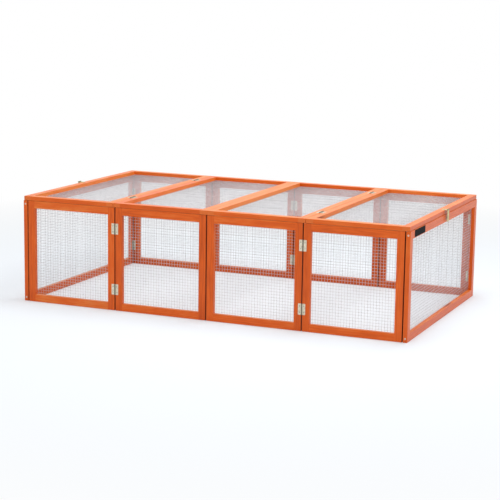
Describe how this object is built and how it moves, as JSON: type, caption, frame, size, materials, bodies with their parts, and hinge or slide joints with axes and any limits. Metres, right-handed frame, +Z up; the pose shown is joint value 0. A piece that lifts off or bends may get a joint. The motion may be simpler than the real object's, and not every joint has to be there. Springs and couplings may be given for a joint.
{
  "type": "folding pet run",
  "caption": "Low rectangular run for small pets: hinged wooden frames filled with wire mesh, with a mesh roof whose end panels lift as lids and walls that fold flat.",
  "frame": {"origin": "on the ground under the middle of the run", "axes": "+X along the length, to the right seen from the front; +Y to the back; +Z up"},
  "size_m": [1.8312, 1.05, 0.485],
  "materials": {
    "stained_wood": "orange-brown stain, satin",
    "galvanised_wire": "galvanised",
    "hinge_zinc": "yellowish zinc plate",
    "screw_zinc": "zinc plate",
    "brass_plated_steel": "pale brass plate",
    "black_label": "matt black"
  },
  "bodies": {
    "left_end_wall": {"left_end_wall_frame": "stained_wood", "left_end_wall_mesh": "galvanised_wire", "left_end_wall_hinges": "hinge_zinc", "left_end_wall_hinge_pins": "hinge_zinc", "left_end_wall_edge_screws": "screw_zinc", "left_hasp_staple": "brass_plated_steel"},
    "right_end_wall": {"right_end_wall_frame": "stained_wood", "right_end_wall_mesh": "galvanised_wire", "right_end_wall_hinges": "hinge_zinc", "right_end_wall_hinge_pins": "hinge_zinc", "right_end_wall_edge_screws": "screw_zinc", "right_hasp_staple": "brass_plated_steel", "blank_label": "black_label"},
    "roof_centre": {"roof_centre_left_frame": "stained_wood", "roof_centre_left_mesh": "galvanised_wire", "roof_centre_right_frame": "stained_wood", "roof_centre_right_mesh": "galvanised_wire", "roof_centre_hinges": "hinge_zinc", "roof_centre_hinge_pins": "hinge_zinc"},
    "front_panel_1": {"front_panel_1_frame": "stained_wood", "front_panel_1_mesh": "galvanised_wire", "front_panel_1_hinges": "hinge_zinc", "front_panel_1_hinge_pins": "hinge_zinc"},
    "front_panel_2": {"front_panel_2_frame": "stained_wood", "front_panel_2_mesh": "galvanised_wire", "front_panel_2_hinges": "hinge_zinc", "front_panel_2_hinge_pins": "hinge_zinc"},
    "front_panel_3": {"front_panel_3_frame": "stained_wood", "front_panel_3_mesh": "galvanised_wire", "front_panel_3_hinges": "hinge_zinc", "front_panel_3_hinge_pins": "hinge_zinc"},
    "front_panel_4": {"front_panel_4_frame": "stained_wood", "front_panel_4_mesh": "galvanised_wire", "front_panel_4_hinges": "hinge_zinc"},
    "back_panel_1": {"back_panel_1_frame": "stained_wood", "back_panel_1_mesh": "galvanised_wire", "back_panel_1_hinges": "hinge_zinc", "back_panel_1_hinge_pins": "hinge_zinc"},
    "back_panel_2": {"back_panel_2_frame": "stained_wood", "back_panel_2_mesh": "galvanised_wire", "back_panel_2_hinges": "hinge_zinc", "back_panel_2_hinge_pins": "hinge_zinc"},
    "back_panel_3": {"back_panel_3_frame": "stained_wood", "back_panel_3_mesh": "galvanised_wire", "back_panel_3_hinges": "hinge_zinc", "back_panel_3_hinge_pins": "hinge_zinc"},
    "back_panel_4": {"back_panel_4_frame": "stained_wood", "back_panel_4_mesh": "galvanised_wire", "back_panel_4_hinges": "hinge_zinc"},
    "left_lid": {"left_lid_frame": "stained_wood", "left_lid_mesh": "galvanised_wire", "left_lid_hinges": "hinge_zinc", "left_hasp_plate": "brass_plated_steel"},
    "left_hasp_strap": {"left_hasp_strap": "brass_plated_steel"},
    "right_lid": {"right_lid_frame": "stained_wood", "right_lid_mesh": "galvanised_wire", "right_lid_hinges": "hinge_zinc", "right_hasp_plate": "brass_plated_steel"},
    "right_hasp_strap": {"right_hasp_strap": "brass_plated_steel"}
  },
  "joints": [
    {"name": "wall_fold", "type": "hinge", "parent": "left_end_wall", "child": "front_panel_1", "pos_m": [-0.8835, -0.4985, 0], "axis": [0, 0, 1], "range_deg": [0, 90]},
    {"name": "front_fold_1_2", "type": "hinge", "parent": "front_panel_1", "child": "front_panel_2", "pos_m": [-0.44175, -0.5225, 0], "axis": [0, 0, 1], "range_deg": [-180, 0]},
    {"name": "front_fold_2_3", "type": "hinge", "parent": "front_panel_2", "child": "front_panel_3", "pos_m": [0, -0.4985, 0], "axis": [0, 0, 1], "range_deg": [0, 180]},
    {"name": "front_fold_3_4", "type": "hinge", "parent": "front_panel_3", "child": "front_panel_4", "pos_m": [0.44175, -0.5225, 0], "axis": [0, 0, 1], "range_deg": [-180, 0]},
    {"name": "front_right_corner", "type": "hinge", "parent": "front_panel_4", "child": "right_end_wall", "pos_m": [0.8835, -0.4985, 0], "axis": [0, 0, 1], "range_deg": [0, 90]},
    {"name": "back_left_corner", "type": "hinge", "parent": "left_end_wall", "child": "back_panel_1", "pos_m": [-0.8835, 0.4985, 0], "axis": [0, 0, 1], "range_deg": [-90, 0]},
    {"name": "back_fold_1_2", "type": "hinge", "parent": "back_panel_1", "child": "back_panel_2", "pos_m": [-0.44175, 0.5225, 0], "axis": [0, 0, 1], "range_deg": [0, 180]},
    {"name": "back_fold_2_3", "type": "hinge", "parent": "back_panel_2", "child": "back_panel_3", "pos_m": [0, 0.4985, 0], "axis": [0, 0, 1], "range_deg": [-180, 0]},
    {"name": "back_fold_3_4", "type": "hinge", "parent": "back_panel_3", "child": "back_panel_4", "pos_m": [0.44175, 0.5225, 0], "axis": [0, 0, 1], "range_deg": [0, 180]},
    {"name": "roof_lift", "type": "slide", "parent": "left_end_wall", "child": "roof_centre", "axis": [0, 0, 1], "range_m": [0, 0.5]},
    {"name": "left_lid_open", "type": "hinge", "parent": "roof_centre", "child": "left_lid", "pos_m": [-0.451, 0, 0.4825], "axis": [0, 1, 0], "range_deg": [0, 165]},
    {"name": "right_lid_open", "type": "hinge", "parent": "roof_centre", "child": "right_lid", "pos_m": [0.451, 0, 0.4825], "axis": [0, -1, 0], "range_deg": [0, 165]},
    {"name": "left_hasp_swing", "type": "hinge", "parent": "left_lid", "child": "left_hasp_strap", "pos_m": [-0.91315, 0, 0.4825], "axis": [0, -1, 0], "range_deg": [-170, 7]},
    {"name": "right_hasp_swing", "type": "hinge", "parent": "right_lid", "child": "right_hasp_strap", "pos_m": [0.91315, 0, 0.4825], "axis": [0, 1, 0], "range_deg": [-170, 7]}
  ],
  "couplings": [
    {"joint": "front_fold_1_2", "follows": "wall_fold", "ratio": -2},
    {"joint": "front_fold_2_3", "follows": "wall_fold", "ratio": 2},
    {"joint": "front_fold_3_4", "follows": "wall_fold", "ratio": -2},
    {"joint": "front_right_corner", "follows": "wall_fold", "ratio": 1},
    {"joint": "back_left_corner", "follows": "wall_fold", "ratio": -1},
    {"joint": "back_fold_1_2", "follows": "wall_fold", "ratio": 2},
    {"joint": "back_fold_2_3", "follows": "wall_fold", "ratio": -2},
    {"joint": "back_fold_3_4", "follows": "wall_fold", "ratio": 2}
  ]
}
